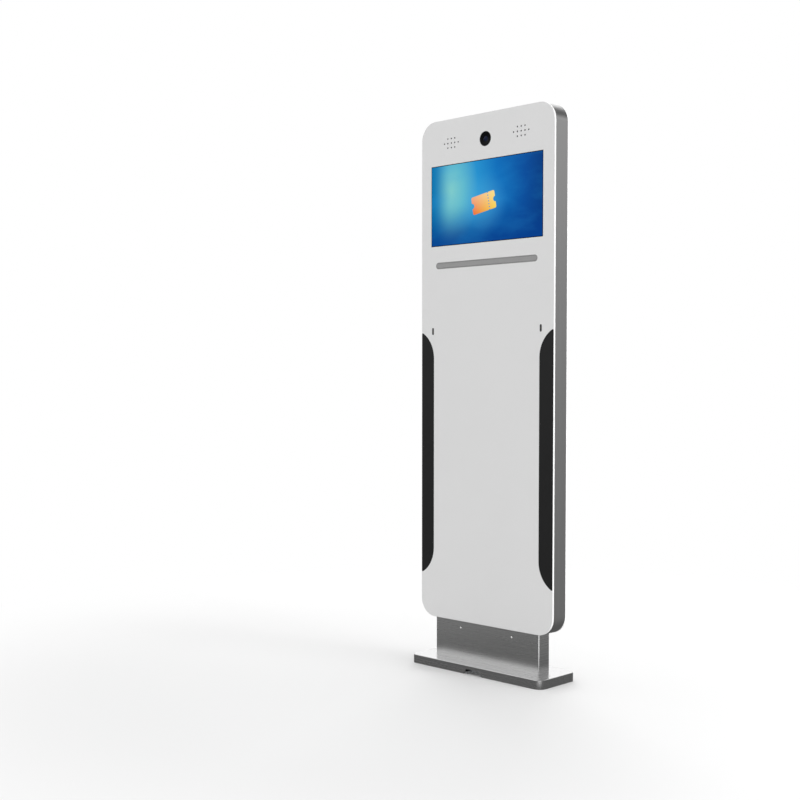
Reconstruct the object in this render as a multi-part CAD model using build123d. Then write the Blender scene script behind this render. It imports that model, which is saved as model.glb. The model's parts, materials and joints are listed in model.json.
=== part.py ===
"""Floor-standing ticket vending machine: a slim totem with a hinged front door.

Frame: X to the customer's right, -Y towards the customer, +Z up. The origin is on the floor under the
middle of the machine. Sizes are in millimetres.
"""

import os
from math import cos, pi, radians, sin, sqrt

from build123d import *

# ---------------------------------------------------------------- overall sizes
BODY_W = 566.0  # the slab that holds the screen
BODY_BOTTOM = 157.0
BODY_TOP = 1830.0
BODY_CORNER_R = 60.0
BODY_D = 72.0
PANEL_T = 6.5  # depth of the white trays that close the front and the back
SKIN_T = 2.0
EDGE_R = 1.2

# ---------------------------------------------------------------- side frame, a band with two lips
FRAME_INSET = 0.5
FRAME_WALL = 1.5
FRAME_FLANGE = 14.0
DOOR_GAP = 1.6  # between the door's rim and the band, so that the rim swings clear
VENT_SLOT_W = 3.6
VENT_SLOT_L = 38.0
VENT_PITCH = 6.4
VENT_HALF_COUNT = 4  # slots each side of the middle one, over each fan

# ---------------------------------------------------------------- stand
PLINTH_L = 562.0
PLINTH_W = 184.0
PLINTH_H = 29.0
PLINTH_R = 26.0
PLINTH_WALL = 2.0
FLOOR_PLATE_T = 8.0
FLOOR_PLATE_GAP = 1.0
CABLE_NOTCH_BOTTOM = 78.0
CABLE_NOTCH_TOP = 57.0
CABLE_NOTCH_H = 17.0
CABLE_WELL = 30.0  # how far the notch runs into the floor plate
CABLE_HOLE_R = 20.0
ANCHOR_X = 460.0
ANCHOR_Y = 130.0
ANCHOR_R = 6.5
NECK_W = 446.0
NECK_D = 54.0
NECK_WALL = 1.5
NECK_CORNER_R = 5.0
NECK_TAB = 10.0  # half the height of the tab behind the front cover's screws
NECK_SCREW_X = 110.0
NECK_SCREW_DOWN = 25.0  # below the slab's bottom
NECK_SCREW_R = 2.0
SCREW_DOME_R = 4.6
SCREW_DOME_H = 2.0
SCREW_HEX_R = 1.25
COLUMN_X = 150.0
COLUMN_W = 60.0
COLUMN_D = 32.0
COLUMN_WALL = 3.0
COLUMN_RISE = 203.0  # how far the columns reach into the slab
COLUMN_CLEARANCE = 1.0
BRIDGE_T = 4.0
BRIDGE_UP = 33.0  # bridge's lower edge above the slab's bottom
BRIDGE_STEP = 38.0  # height of its narrower lower part
BRIDGE_STEP_IN = 68.0
BRIDGE_CABLE_GAP = 80.0
BOLT_R = 5.0
BOLT_CLEARANCE = 0.4
BOLT_HEAD_R = 8.5
BOLT_DOWN = (130.0, 40.0)  # below the columns' tops

# ---------------------------------------------------------------- what shows on the front
SCREEN_W = 476.6  # lit area of a 21.5 inch display, 16:9
SCREEN_H = 268.1
SCREEN_DOWN = 284.0  # screen's middle below the slab's top
SCREEN_GLASS_T = 3.0
CAMERA_DOWN = 84.5
CAMERA_WINDOW_R = 24.0
WINDOW_FLANGE = 3.0
SPEAKER_X = 149.0
SPEAKER_DOWN = 79.5
GRILLE_PITCH_X = 15.4
GRILLE_PITCH_Z = 15.0
GRILLE_HOLE_R = 2.9
OUTLET_DROP = 199.0  # ticket outlet's middle below the screen's
OUTLET_W = 434.0
OUTLET_H = 22.0
OUTLET_RING = 2.2
OUTLET_FLANGE = 6.0
FLAP_GAP = 0.6
FLAP_T = 3.0
FLAP_AXIS_DOWN = 2.2  # hinge axis below the flap's top edge
FLAP_PIN_R = 1.0
KEY_IN = 52.0  # key slots in from the slab's sides
KEY_DROP = 219.5  # below the ticket outlet
KEY_SLOT_W = 8.0
KEY_SLOT_H = 24.0
TRIM_W = 57.0
TRIM_R = 100.0
TRIM_KEY_DROP = 92.0  # straight inside edge starts this far below the key slots
TRIM_FOOT = 235.5  # and ends this far above the slab's bottom
TRIM_TIP_R = 4.0
TRIM_LIP = 1.0  # white edge left outside the trim
TRIM_TAB = 5.0
FIT = 0.15  # gap round a piece let into the door's skin
BACKING_T = 1.5  # flanges of let-in pieces, behind the skin

# ---------------------------------------------------------------- hinge and locks
HINGE_R = 2.4
HINGE_PIN_R = 1.2
HINGE_IN = 2.6  # pin's axis inside the door's outer face
HINGE_SKIN_GAP = 0.2
HINGE_LEAF_T = 1.2
HINGE_LEAF_W = 16.0
HINGE_LEAF_BITE = 1.0  # how deep the frame leaf meets its knuckles
HINGE_L = 60.0
HINGE_UP = 104.0  # lowest hinge above the slab's bottom
HINGE_DOWN = 118.0  # highest hinge below the slab's top
HINGE_LOCK_UP = 72.5  # middle hinge above the locks
HINGE_SPARE = 1.0
RUNNING = 0.06  # radial clearance of a pin that turns in a bore
KNUCKLE_GAP = 0.3
LOCK_R = 4.0
LOCK_BODY_R = 9.0
LOCK_SPINDLE_R = 2.5
LOCK_SINK = 0.3  # plug's face below the door's
CAM_T = 3.0
CAM_W = 14.0
CAM_REACH = 44.0
CAM_GAP = 0.6
KEYWAY = (1.4, 5.6)
KEYWAY_DEPTH = 9.0

# ---------------------------------------------------------------- ticket printer, on the door
PAPER_W = 79.5
ROLL_R = 23.0
CORE_R = 8.0
SPINDLE_R = 6.0
ROLL_BEHIND = 26.0  # roll's and platen's axes behind the door's skin
CHEEK_T = 2.0
CHEEK_GAP = 2.0
PLATEN_R = 7.0
PLATEN_SHAFT_R = 2.5
CUTTER_DROP = 38.0  # below the ticket outlet
PLATEN_DROP = 23.0  # below the cutter
ROLL_DROP = 70.0  # below the platen
GEAR_MODULE = 1.0
GEAR_TEETH = 28
PINION_TEETH = 14
GEAR_W = 5.0
GEAR_GAP = 0.15
PINION_ANGLE = -62.0  # direction from the platen to the pinion in the Y-Z plane
MOTOR_R = 12.5
MOTOR_L = 18.0
MOTOR_SHAFT_R = 1.5
HEAD_GAP = 0.2
HEAD_T = 2.0
SINK_BASE_T = 4.0
SINK_FIN_L = 6.0
SINK_FINS = 5
LEVER_UP = 20.0  # release lever's pin above the platen
LEVER_L = 26.0
CUTTER_T = 1.2
CRADLE_UNDER = 28.0  # cradle's lower edge below the roll's axis
CRADLE_OVER = 13.0  # and its upper edge above the cutter
CRADLE_D = 51.0  # cradle's depth behind the skin
CRADLE_FLANGE = 24.0

# ---------------------------------------------------------------- inside the cabinet
TRAY_T = 1.5
TRAY_SIDE_GAP = 6.0
TRAY_LIP = 12.0
TRAY_ABOVE = 25.0  # equipment plate's lower edge above the columns
TRAY_H = 520.0
TRAY_UNDER_PRINTER = 10.0  # least gap between the equipment plate and the printer above it
STACK_GAP = 40.0  # round the units on the equipment plate
SUPPLY = (115.0, 215.0, 30.0)  # width, height, depth
SUPPLY_X = -60.0
SUPPLY_SLOTS = 12
SUPPLY_TERMINALS = 7
CONTROLLER = (180.0, 170.0, 38.0)
CONTROLLER_FINS = 14
CONTROLLER_PORTS = 4
ENTRY = (50.0, 70.0, 40.0)
ENTRY_X = 150.0
ROCKER_UP = 53.0  # rocker's pin above the power entry's lower edge
ROCKER_IN = 6.0
ROCKER_PIN_R = 1.5
INLET_UP = 20.0
FAN = 40.0
FAN_T = 10.0
FAN_X = 120.0
FAN_HUB_R = 8.0
FAN_BLADE_R = 17.5
FAN_SHAFT_R = 1.5
FAN_BLADES = 7
FAN_SCREW_X = 16.0
STUD_R = 2.0
STUD_HOLE_GAP = 0.3
STUD_NUT_R = 4.0
STUD_NUT_T = 3.2
STUD_GAP = 25.0  # lowest side stud above the columns
STUD_TOP_X = 160.0
GROMMET_R = 15.0
GROMMET_LIP_R = 21.5

# ---------------------------------------------------------------- worked out
FRONT = -BODY_D / 2
BACK = BODY_D / 2
SKIN_IN = FRONT + SKIN_T
RIM_BACK = FRONT + PANEL_T
FRAME_FRONT = RIM_BACK + DOOR_GAP
FRAME_BACK = BACK - PANEL_T
HALF_W = BODY_W / 2
BODY_MID_Z = (BODY_BOTTOM + BODY_TOP) / 2
BODY_H = BODY_TOP - BODY_BOTTOM
LIP_IN = FRAME_INSET + FRAME_WALL
FLANGE_BACK = FRAME_FRONT + FRAME_WALL
NECK_SCREW_Z = BODY_BOTTOM - NECK_SCREW_DOWN
COLUMN_TOP = BODY_BOTTOM + COLUMN_RISE
BRIDGE_BOTTOM = BODY_BOTTOM + BRIDGE_UP
BOLT_Z = [COLUMN_TOP - down for down in BOLT_DOWN]
SCREEN_Z = BODY_TOP - SCREEN_DOWN
CAMERA_Z = BODY_TOP - CAMERA_DOWN
SPEAKER_Z = BODY_TOP - SPEAKER_DOWN
OUTLET_Z = SCREEN_Z - OUTLET_DROP
KEY_X = HALF_W - KEY_IN
KEY_Z = OUTLET_Z - KEY_DROP
TRIM_HIGH = KEY_Z - TRIM_KEY_DROP
TRIM_LOW = BODY_BOTTOM + TRIM_FOOT
HINGE_X = -HALF_W + HINGE_IN
HINGE_Y = SKIN_IN + HINGE_R + HINGE_SKIN_GAP
HINGE_Z = (BODY_BOTTOM + HINGE_UP, KEY_Z + HINGE_LOCK_UP, BODY_TOP - HINGE_DOWN)
CUTTER_Z = OUTLET_Z - CUTTER_DROP
PLATEN_Z = CUTTER_Z - PLATEN_DROP
PLATEN_Y = SKIN_IN + ROLL_BEHIND
ROLL_Z = PLATEN_Z - ROLL_DROP
ROLL_Y = PLATEN_Y
CRADLE_BOTTOM = ROLL_Z - CRADLE_UNDER
CRADLE_TOP = CUTTER_Z + CRADLE_OVER
CRADLE_BACK = SKIN_IN + CRADLE_D
CHEEK_X = PAPER_W / 2 + CHEEK_GAP
TRAY_Y = FRAME_BACK - FRAME_WALL - TRAY_T
TRAY_BOTTOM = COLUMN_TOP + TRAY_ABOVE
TRAY_TOP = min(TRAY_BOTTOM + TRAY_H, CRADLE_BOTTOM - TRAY_UNDER_PRINTER)
SUPPLY_Z = TRAY_BOTTOM + STACK_GAP
CONTROLLER_Z = SUPPLY_Z + SUPPLY[1] + STACK_GAP


# ---------------------------------------------------------------- small shapes
def block(x0, x1, y0, y1, z0, z1):
    """A box between two corners."""
    middle = ((x0 + x1) / 2, (y0 + y1) / 2, (z0 + z1) / 2)
    return Pos(*middle) * Box(abs(x1 - x0), abs(y1 - y0), abs(z1 - z0))


def rod(axis, radius, a, b, u, v):
    """A cylinder along X, Y or Z from a to b. u and v are its other two coordinates, in X, Y, Z order."""
    place = {"X": ((a + b) / 2, u, v), "Y": (u, (a + b) / 2, v), "Z": (u, v, (a + b) / 2)}[axis]
    turn = {"X": Rot(0, 90, 0), "Y": Rot(90, 0, 0), "Z": Rot(0, 0, 0)}[axis]
    return Pos(*place) * turn * Cylinder(radius, abs(b - a))


def slab(sketch, y0, y1, x=0.0, z=0.0):
    """A sketch drawn in X and Z, given thickness from y0 to y1 and moved to x, z."""
    plane = Plane((x, max(y0, y1), z), x_dir=(1, 0, 0), z_dir=(0, -1, 0))
    return extrude(plane * sketch, amount=abs(y1 - y0))


def body_outline(inset=0.0):
    """The slab's rounded outline, smaller by inset all round."""
    return RectangleRounded(BODY_W - 2 * inset, BODY_H - 2 * inset, BODY_CORNER_R - inset)


def body_slab(y0, y1, inset=0.0):
    return slab(body_outline(inset), y0, y1, 0, BODY_MID_Z)


def mirrored(shape):
    return mirror(shape, about=Plane.YZ)


def both(shape):
    """The shape and its mirror image, as separate solids."""
    return Compound(children=[*shape.solids(), *mirrored(shape).solids()])


def group(shapes):
    return Compound(children=[s for shape in shapes for s in shape.solids()])


def front_edges(shape, y, length=0.0):
    """The edges of a shape that lie in the plane at y and are longer than length."""
    return [e for e in shape.edges() if abs(e.bounding_box().min.Y - y) < 1e-3
            and abs(e.bounding_box().max.Y - y) < 1e-3 and e.length > length]


# ---------------------------------------------------------------- stand
def notch_prism(y0, y1):
    """The cable notch's shape, wider at the floor."""
    low, high = CABLE_NOTCH_BOTTOM / 2, CABLE_NOTCH_TOP / 2
    outline = Polygon((-low, -1), (low, -1), (high, CABLE_NOTCH_H), (-high, CABLE_NOTCH_H), align=None)
    return slab(outline, y0, y1)


def floor_plate():
    length = PLINTH_L - 2 * (PLINTH_WALL + FLOOR_PLATE_GAP)
    width = PLINTH_W - 2 * (PLINTH_WALL + FLOOR_PLATE_GAP)
    plate = extrude(RectangleRounded(length, width, PLINTH_R - PLINTH_WALL), amount=FLOOR_PLATE_T)
    for side in (-1, 1):
        edge = side * PLINTH_W / 2
        half = CABLE_NOTCH_TOP / 2
        plate -= block(-half, half, edge, edge - side * CABLE_WELL, -1, PLINTH_H)
    for x in (-ANCHOR_X / 2, ANCHOR_X / 2):
        for y in (-ANCHOR_Y / 2, ANCHOR_Y / 2):
            plate -= rod("Z", ANCHOR_R, -1, FLOOR_PLATE_T + 1, x, y)
    return plate - rod("Z", CABLE_HOLE_R, -1, FLOOR_PLATE_T + 1, 0, 0)


def plinth_cover():
    cover = extrude(RectangleRounded(PLINTH_L, PLINTH_W, PLINTH_R), amount=PLINTH_H)
    cover = fillet(cover.faces().sort_by(Axis.Z)[-1].edges(), EDGE_R)
    inner = RectangleRounded(PLINTH_L - 2 * PLINTH_WALL, PLINTH_W - 2 * PLINTH_WALL, PLINTH_R - PLINTH_WALL)
    cover -= Pos(0, 0, -1) * extrude(inner, amount=PLINTH_H - PLINTH_WALL + 1)
    hole = RectangleRounded(NECK_W - 2 * NECK_WALL, NECK_D - 2 * NECK_WALL, NECK_CORNER_R)
    cover -= extrude(hole, amount=PLINTH_H + 1)
    return cover - notch_prism(-PLINTH_W, PLINTH_W)


def neck_tube():
    top = BODY_BOTTOM + FRAME_INSET
    place = Pos(0, 0, PLINTH_H)
    outer = extrude(RectangleRounded(NECK_W, NECK_D, NECK_CORNER_R), amount=top - PLINTH_H)
    inner = extrude(Rectangle(NECK_W - 2 * NECK_WALL, NECK_D - 2 * NECK_WALL), amount=top - PLINTH_H)
    return place * (outer - inner)


def neck_cover_part():
    """The stretch of the neck's front that comes away, between its two corner folds."""
    half = NECK_W / 2 - NECK_CORNER_R
    return block(-half, half, -NECK_D, -NECK_D / 2 + NECK_WALL, 0, BODY_TOP)


def neck_front_cover():
    cover = neck_tube() & neck_cover_part()
    for x in (-NECK_SCREW_X, NECK_SCREW_X):
        cover -= rod("Y", NECK_SCREW_R, -NECK_D, 0, x, NECK_SCREW_Z)
    return cover


def neck_shell():
    """Back and sides of the neck, with a folded tab behind the front cover for its two screws."""
    shell = neck_tube() - neck_cover_part()
    front = -NECK_D / 2 + NECK_WALL
    half = NECK_W / 2 - NECK_WALL
    tab = block(-half, half, front, front + NECK_WALL, NECK_SCREW_Z - NECK_TAB, NECK_SCREW_Z + NECK_TAB)
    for x in (-NECK_SCREW_X, NECK_SCREW_X):
        tab -= rod("Y", NECK_SCREW_R, -NECK_D, 0, x, NECK_SCREW_Z)
    return shell + tab


def neck_screws():
    """Two low domed screws with hexagon sockets."""
    face = -NECK_D / 2
    dome = Pos(0, face + SCREW_DOME_R - SCREW_DOME_H, NECK_SCREW_Z) * Sphere(SCREW_DOME_R)
    dome &= block(-SCREW_DOME_R, SCREW_DOME_R, face - SCREW_DOME_H, face,
                  NECK_SCREW_Z - SCREW_DOME_R, NECK_SCREW_Z + SCREW_DOME_R)
    socket = RegularPolygon(SCREW_HEX_R, 6)
    dome -= slab(socket, face - SCREW_DOME_H, face - SCREW_DOME_H / 2, 0, NECK_SCREW_Z)
    screw = dome + rod("Y", NECK_SCREW_R, face, face + 4 * NECK_SCREW_R, 0, NECK_SCREW_Z)
    return group([Pos(x, 0, 0) * screw for x in (-NECK_SCREW_X, NECK_SCREW_X)])


def support_columns():
    tube = extrude(RectangleRounded(COLUMN_W, COLUMN_D, 4), amount=COLUMN_TOP - FLOOR_PLATE_T)
    tube -= extrude(Rectangle(COLUMN_W - 2 * COLUMN_WALL, COLUMN_D - 2 * COLUMN_WALL), amount=COLUMN_TOP)
    column = Pos(COLUMN_X, 0, FLOOR_PLATE_T) * tube
    for z in BOLT_Z:
        column -= rod("Y", BOLT_R, -COLUMN_D, COLUMN_D, COLUMN_X, z)
    return both(column)


def mounting_bridge():
    """Channel that ties the columns to the side frame."""
    reach = HALF_W - LIP_IN
    y = COLUMN_D / 2
    step = BRIDGE_BOTTOM + BRIDGE_STEP
    low = reach - BRIDGE_STEP_IN
    web = block(-reach, reach, y, y + BRIDGE_T, step, COLUMN_TOP)
    web += block(-low, low, y, y + BRIDGE_T, BRIDGE_BOTTOM, step)
    for side in (-1, 1):
        web += block(side * reach, side * (reach - BRIDGE_T), -y, y, step + 3 * BRIDGE_T, COLUMN_TOP)
        for z in BOLT_Z:
            web -= rod("Y", BOLT_R, 0, 2 * y, side * COLUMN_X, z)
    half = BRIDGE_CABLE_GAP / 2
    return web - block(-half, half, 0, 2 * COLUMN_D, BRIDGE_BOTTOM - 1, step)


def bridge_bolts():
    bolts = []
    for x in (-COLUMN_X, COLUMN_X):
        for z in BOLT_Z:
            front = -COLUMN_D / 2
            end = COLUMN_D / 2 + BRIDGE_T
            shank = rod("Y", BOLT_R - BOLT_CLEARANCE, front, end, x, z)
            hexagon = RegularPolygon(BOLT_HEAD_R, 6, major_radius=False)
            head = slab(hexagon, front - 1.2 * BOLT_R, front, x, z)
            nut = slab(hexagon, end, end + BOLT_R / 2, x, z)
            bolts.append(shank + head + nut)
    return group(bolts)


# ---------------------------------------------------------------- side frame and back
def column_hole():
    half_w, half_d = COLUMN_W / 2 + COLUMN_CLEARANCE, COLUMN_D / 2 + COLUMN_CLEARANCE
    return block(COLUMN_X - half_w, COLUMN_X + half_w, -half_d, half_d, 0, BODY_BOTTOM + 2 * FRAME_FLANGE)


def stud_places():
    """Where the back tray's studs pass the frame's rear lip."""
    inset = FRAME_INSET + FRAME_FLANGE / 2 + 1
    x, low, high = HALF_W - inset, BODY_BOTTOM + inset, BODY_TOP - inset
    first, last = COLUMN_TOP + STUD_GAP, BODY_TOP - BODY_CORNER_R - 5 * STUD_NUT_R
    heights = [first + k * (last - first) / 3 for k in range(4)]
    sides = [(s * x, z) for s in (-1, 1) for z in heights]
    return sides + [(s * STUD_TOP_X, z) for s in (-1, 1) for z in (low, high)]


def side_band():
    """The band round the slab's edge, with its vents and the holes for the columns and cables."""
    band = body_slab(FRAME_FRONT, FRAME_BACK, FRAME_INSET) - body_slab(FRAME_FRONT, FRAME_BACK, LIP_IN)
    band -= column_hole() + mirrored(column_hole())
    band -= rod("Z", CABLE_HOLE_R, 0, BODY_BOTTOM + 2 * FRAME_FLANGE, 0, 0)
    for side in (-1, 1):
        for k in range(-VENT_HALF_COUNT, VENT_HALF_COUNT + 1):
            slot = extrude(Rectangle(VENT_SLOT_W, VENT_SLOT_L), amount=2 * FRAME_FLANGE)
            band -= Pos(side * FAN_X + k * VENT_PITCH, 0, BODY_TOP - FRAME_FLANGE) * slot
    return band


def lip_ring(y0, y1):
    return body_slab(y0, y1, LIP_IN) - body_slab(y0, y1, FRAME_INSET + FRAME_FLANGE)


def frame_lengths():
    """The frame as it is made: uprights, a top and a bottom, each a strip of band with two lips."""
    rear_lip = lip_ring(FRAME_BACK - FRAME_WALL, FRAME_BACK)
    for x, z in stud_places():
        rear_lip -= rod("Y", STUD_R + STUD_HOLE_GAP, 0, FRAME_BACK + 1, x, z)
    rings = (side_band(), lip_ring(FRAME_FRONT, FLANGE_BACK), rear_lip)
    low, high = BODY_BOTTOM + BODY_CORNER_R, BODY_TOP - BODY_CORNER_R
    upright = block(0, BODY_W, -BODY_D, BODY_D, low, high)
    stretches = {
        "frame_right": upright, "frame_left": mirrored(upright),
        "frame_top": block(-BODY_W, BODY_W, -BODY_D, BODY_D, high, BODY_TOP + 1),
        "frame_bottom": block(-BODY_W, BODY_W, -BODY_D, BODY_D, 0, low),
    }
    return {name: group([ring & stretch for ring in rings]) for name, stretch in stretches.items()}


def back_tray():
    tray = body_slab(BACK - PANEL_T, BACK)
    tray = fillet(front_edges(tray, BACK), EDGE_R)
    tray -= body_slab(BACK - PANEL_T - 1, BACK - SKIN_T, SKIN_T)
    for x, z in stud_places():
        tray += rod("Y", STUD_R, FRAME_BACK - 2 * STUD_NUT_R, BACK - SKIN_T, x, z)
    return tray


def back_tray_nuts():
    y = FRAME_BACK - FRAME_WALL
    nut = RegularPolygon(STUD_NUT_R, 6, major_radius=False) - Circle(STUD_R + RUNNING)
    return group([slab(nut, y - STUD_NUT_T, y, x, z) for x, z in stud_places()])


# ---------------------------------------------------------------- inside the cabinet
def equipment_plate():
    half = HALF_W - LIP_IN - TRAY_SIDE_GAP
    lip_half = half - STACK_GAP
    plate = block(-half, half, TRAY_Y, TRAY_Y + TRAY_T, TRAY_BOTTOM, TRAY_TOP)
    for z in (TRAY_BOTTOM, TRAY_TOP - TRAY_T):
        plate += block(-lip_half, lip_half, TRAY_Y - TRAY_LIP, TRAY_Y, z, z + TRAY_T)
    for x, z in stud_places():
        plate -= rod("Y", STUD_NUT_R + 3, 0, TRAY_Y + 5, x, z)
    return plate


def power_supply():
    """Closed supply with cooling slots in its face and a row of terminals at its foot."""
    w, h, d = SUPPLY
    x, z, face = SUPPLY_X, SUPPLY_Z, TRAY_Y - d
    margin, slot, pitch = 16, 6, 12
    case = block(x - w / 2, x + w / 2, face, TRAY_Y, z, z + h)
    case = fillet(case.edges().filter_by(Axis.Z), 1.5)
    for k in range(SUPPLY_SLOTS):
        low = z + 60 + k * pitch
        case -= block(x - w / 2 + margin, x + w / 2 - margin, face - 1, face + 1.2, low, low + slot)
    case -= block(x - w / 2 + 6, x + w / 2 - 6, face - 1, TRAY_Y - 8, z - 1, z + 22)
    for k in range(SUPPLY_TERMINALS):
        middle = x + (k - (SUPPLY_TERMINALS - 1) / 2) * (pitch + 1)
        case += block(middle - 5, middle + 5, TRAY_Y - 18, TRAY_Y - 8, z + 2, z + 22)
    return case


def controller_box():
    """Fanless controller: cooling fins on its face and a row of ports at its foot."""
    w, h, d = CONTROLLER
    z, face = CONTROLLER_Z, TRAY_Y - d
    margin, fin, pitch = 12, 5, 12
    case = block(-w / 2, w / 2, face, TRAY_Y, z, z + h)
    case = fillet(case.edges().filter_by(Axis.Y), 6)
    for k in range(CONTROLLER_FINS):
        x = -w / 2 + margin + k * pitch
        case -= block(x, x + fin, face - 1, face + 6, z + margin, z + h - margin)
    for k in range(CONTROLLER_PORTS):
        x = (k - CONTROLLER_PORTS / 2) * 34
        case -= block(x, x + 16, TRAY_Y - 22, TRAY_Y - 10, z - 1, z + 6)
    return case


def power_entry():
    """Mains inlet and switch housing. The rocker's pocket is at the top and the three-pin inlet below."""
    w, h, d = ENTRY
    x, z, face = ENTRY_X, SUPPLY_Z, TRAY_Y - d
    pin_z = z + ROCKER_UP
    case = block(x - w / 2, x + w / 2, face, TRAY_Y, z, z + h)
    case = fillet(case.edges().filter_by(Axis.Y), 3)
    case -= block(x - 11, x + 11, face - 1, face + 14, pin_z - 9, pin_z + 9)
    for side in (-1, 1):
        case -= rod("X", ROCKER_PIN_R + RUNNING, x + side * 10, x + side * 14, face + ROCKER_IN, pin_z)
    case -= slab(RectangleRounded(28, 20, 4), face - 1, face + 16, x, z + INLET_UP)
    for dx, dz in ((-7, 1.5), (0, -1.5), (7, 1.5)):
        pin_x, pin_low = x + dx, z + INLET_UP + dz - 3
        case += block(pin_x - 1, pin_x + 1, face + 4, face + 16, pin_low, pin_low + 6)
    return case


def power_rocker():
    """Rocker resting with its lower half pressed in."""
    x, z, y = ENTRY_X, SUPPLY_Z + ROCKER_UP, TRAY_Y - ENTRY[2] + ROCKER_IN
    cap = Polygon((-2.8, -7.4), (-0.6, 0), (-4.2, 7.2), (4.5, 5.2), (4.5, -5.2), align=None)
    plane = Plane((x - 10, y - 4, z), x_dir=(0, 1, 0), z_dir=(1, 0, 0))
    rocker = extrude(plane * cap, amount=20, dir=(1, 0, 0))
    pins = rod("X", ROCKER_PIN_R, x - 13, x + 13, y, z)
    neck = block(x - 9, x + 9, y - 2, y + 2, z - 2.5, z + 2.5)
    return rocker + pins + neck


def cable_grommet():
    """Rubber bush in the frame's floor, round the feed from the neck."""
    z = BODY_BOTTOM + FRAME_INSET
    lip = FRAME_WALL + 2
    bush = rod("Z", CABLE_HOLE_R, z, z + FRAME_WALL, 0, 0)
    bush += rod("Z", GROMMET_LIP_R, z + FRAME_WALL, z + lip, 0, 0)
    return bush - rod("Z", GROMMET_R, z - 1, z + lip + 1, 0, 0)


def fan_place(side):
    top = BODY_TOP - LIP_IN
    return side * FAN_X, top - FAN_T, top


def fan_frames():
    frames = []
    for side in (-1, 1):
        x, low, high = fan_place(side)
        case = Pos(x, 0, low) * extrude(RectangleRounded(FAN, FAN, 4), amount=FAN_T)
        case -= rod("Z", FAN_BLADE_R + 1, low - 1, high + 1, x, 0)
        for k in range(3):
            arm = block(0, FAN_BLADE_R + 1.5, -1.5, 1.5, 0, 2)
            case += Pos(x, 0, low) * Rot(0, 0, 90 + 120 * k) * arm
        case += rod("Z", FAN_HUB_R, low, low + 2, x, 0)
        case -= rod("Z", FAN_SHAFT_R + RUNNING, low - 1, high, x, 0)
        for dx in (-FAN_SCREW_X, FAN_SCREW_X):
            for dy in (-FAN_SCREW_X, FAN_SCREW_X):
                case -= rod("Z", 2.1, low - 1, high + 1, x + dx, dy)
        frames.append(case)
    return group(frames)


def fan_rotor(side):
    x, low, high = fan_place(side)
    hub = rod("Z", FAN_HUB_R, low + 2.5, high - 1, 0, 0)
    hub = fillet(hub.edges().sort_by(Axis.Z)[-1], 1.5)
    blade = block(FAN_HUB_R - 2, FAN_BLADE_R, -0.6, 0.6, -3.6, 3.6)
    blade = Pos(0, 0, (low + high) / 2 + 0.7) * Rot(38, 0, 0) * blade
    for k in range(FAN_BLADES):
        hub += Rot(0, 0, k * 360 / FAN_BLADES) * blade
    hub &= rod("Z", FAN_BLADE_R, low + 2.5, high - 0.5, 0, 0)
    hub += rod("Z", FAN_SHAFT_R, low + 0.3, low + 3, 0, 0)
    return Pos(x, 0, 0) * hub


# ---------------------------------------------------------------- door
def grille_places():
    """Eleven holes in rows of three, five and three."""
    rows = ((1, (-1, 0, 1)), (0, (-2, -1, 0, 1, 2)), (-1, (-1, 0, 1)))
    return [(column * GRILLE_PITCH_X, row * GRILLE_PITCH_Z) for row, columns in rows for column in columns]


def trim_sketch(grow=0.0, outer=HALF_W - TRIM_LIP):
    """The right-hand trim: straight inside edge, and a round end that runs out at the door's edge."""
    inside = HALF_W - TRIM_W - grow
    width, height = 4 * TRIM_R, TRIM_HIGH - TRIM_LOW + 2 * TRIM_R + 2 * grow
    middle = (TRIM_HIGH + TRIM_LOW) / 2
    full = Pos(inside + width / 2, middle) * RectangleRounded(width, height, TRIM_R + grow)
    window = Pos((inside + outer) / 2, middle) * Rectangle(outer - inside, height)
    blade = full & window
    return fillet(blade.vertices().group_by(Axis.X)[-1], TRIM_TIP_R)


def hinge_zone(z, y0, y1, spare):
    half = HINGE_L / 2 + spare
    return block(-HALF_W - 1, HINGE_X + HINGE_IN, y0, y1, z - half, z + half)


def front_tray():
    """The door's white tray, with every opening that shows on the front."""
    tray = body_slab(FRONT, RIM_BACK)
    tray = fillet(front_edges(tray, FRONT), EDGE_R)
    tray -= body_slab(SKIN_IN, RIM_BACK + 1, SKIN_T)
    through = (FRONT - 1, SKIN_IN + 1)
    tray -= slab(Rectangle(SCREEN_W + 2 * FIT, SCREEN_H + 2 * FIT), *through, 0, SCREEN_Z)
    tray -= rod("Y", CAMERA_WINDOW_R + FIT, *through, 0, CAMERA_Z)
    tray -= slab(SlotOverall(OUTLET_W, OUTLET_H), *through, 0, OUTLET_Z)
    for side in (-1, 1):
        for dx, dz in grille_places():
            tray -= rod("Y", GRILLE_HOLE_R, *through, side * SPEAKER_X + dx, SPEAKER_Z + dz)
        tray -= slab(SlotOverall(KEY_SLOT_H, KEY_SLOT_W, rotation=90), *through, side * KEY_X, KEY_Z)
    recess = slab(trim_sketch(), FRONT - 1, SKIN_IN)
    tray -= recess + mirrored(recess)
    for z in HINGE_Z:
        tray -= hinge_zone(z, SKIN_IN, RIM_BACK + 1, HINGE_SPARE)
    return tray


def side_trim():
    face = slab(offset(trim_sketch(), -FIT), FRONT, SKIN_IN)
    back = slab(trim_sketch(TRIM_TAB, HALF_W - SKIN_T - FIT), SKIN_IN, SKIN_IN + BACKING_T)
    return face + back


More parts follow.
